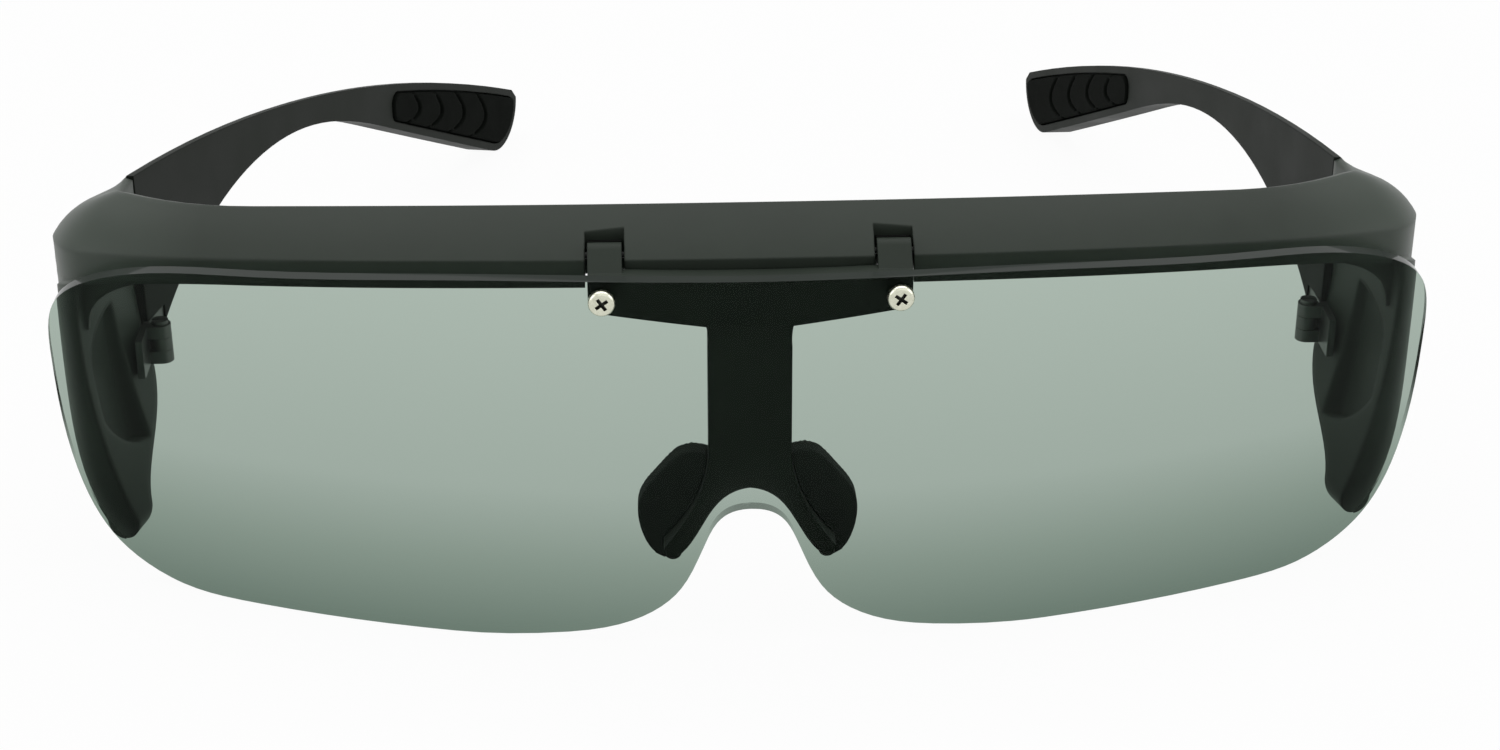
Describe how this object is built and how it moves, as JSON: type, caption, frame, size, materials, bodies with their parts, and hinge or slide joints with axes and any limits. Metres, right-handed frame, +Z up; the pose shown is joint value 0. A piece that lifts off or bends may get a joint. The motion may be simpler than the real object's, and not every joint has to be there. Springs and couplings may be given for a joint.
{
  "type": "flip-up sunglasses",
  "caption": "Fit-over sunglasses with a one-piece tinted shield lens on a sprung flip-up hinge, a wrap-round frame with side shields and folding arms with soft tips.",
  "frame": {"origin": "on the table under the middle of the whole object, which stands on the lower edge of the lens and on the tips of the open arms", "axes": "+Z up, the lens faces -Y and the arms run back along +Y, +X to the right as seen from the front"},
  "size_m": [0.1524, 0.155, 0.0471],
  "materials": {
    "frame_plastic": "satin black, moulded",
    "pad_rubber": "matte black, soft",
    "lens_tint": "clear grey-green tint, polished",
    "screw_steel": "bright plated",
    "hinge_steel": "plain"
  },
  "bodies": {
    "frame": {"front_frame": "frame_plastic", "nose_pad_left": "pad_rubber", "nose_pad_right": "pad_rubber", "frame_leaf_left": "hinge_steel", "frame_leaf_right": "hinge_steel", "hinge_screw_left": "hinge_steel", "hinge_screw_right": "hinge_steel", "flip_pin_left": "hinge_steel", "flip_pin_right": "hinge_steel", "detent_spring_left": "hinge_steel", "detent_spring_right": "hinge_steel"},
    "flip_lens": {"shield_lens": "lens_tint", "hinge_bar": "frame_plastic", "lens_screw_left": "screw_steel", "lens_screw_right": "screw_steel"},
    "arm_left": {"temple_left": "frame_plastic", "temple_leaf_left": "hinge_steel", "tip_pad_left": "pad_rubber"},
    "arm_right": {"temple_right": "frame_plastic", "temple_leaf_right": "hinge_steel", "tip_pad_right": "pad_rubber"}
  },
  "joints": [
    {"name": "lens_flip", "type": "hinge", "parent": "frame", "child": "flip_lens", "pos_m": [0, -0.07139, 0.04315], "axis": [-1, 0, 0], "range_deg": [0, 100]},
    {"name": "arm_fold_left", "type": "hinge", "parent": "frame", "child": "arm_left", "pos_m": [-0.0665, -0.04132, 0.02], "axis": [0, 0, -1], "range_deg": [-9.6, 80]},
    {"name": "arm_fold_right", "type": "hinge", "parent": "frame", "child": "arm_right", "pos_m": [0.0665, -0.04132, 0.02], "axis": [0, 0, 1], "range_deg": [0, 78]}
  ]
}
